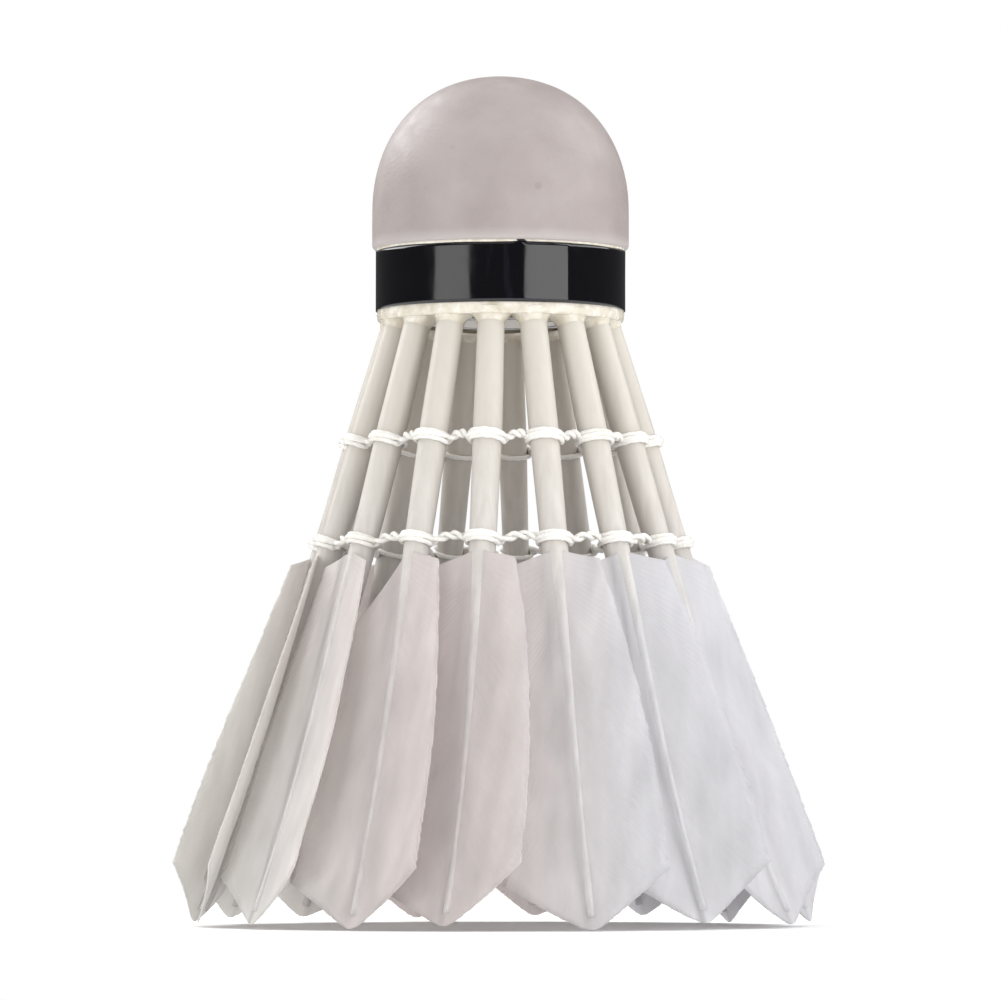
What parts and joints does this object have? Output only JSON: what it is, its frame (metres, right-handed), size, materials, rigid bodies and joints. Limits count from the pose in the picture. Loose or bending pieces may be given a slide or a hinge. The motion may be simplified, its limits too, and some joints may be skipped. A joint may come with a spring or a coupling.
{
  "type": "badminton shuttlecock",
  "caption": "Feather shuttlecock with a leather-covered cork, a tape band, a skirt of glued feathers and two thread rows.",
  "frame": {"origin": "on the axis, in the plane of the feather tips", "axes": "+Z along the axis to the top of the cork; the front of the part faces -Y"},
  "size_m": [0.066, 0.066, 0.086],
  "materials": {
    "cork": "matte",
    "leather": "satin",
    "tape": "gloss",
    "feather": "matte",
    "thread": "matte",
    "label": "matte"
  },
  "bodies": {
    "root": {"cork_base": "cork", "leather_cover": "leather", "tape_band": "tape", "face_label": "label", "thread_row_upper": "thread", "thread_row_lower": "thread", "feather_01": "feather", "feather_02": "feather", "feather_03": "feather", "feather_04": "feather", "feather_05": "feather", "feather_06": "feather", "feather_07": "feather", "feather_08": "feather", "feather_09": "feather", "feather_10": "feather", "feather_11": "feather", "feather_12": "feather", "feather_13": "feather", "feather_14": "feather", "feather_15": "feather", "feather_16": "feather"}
  },
  "joints": []
}
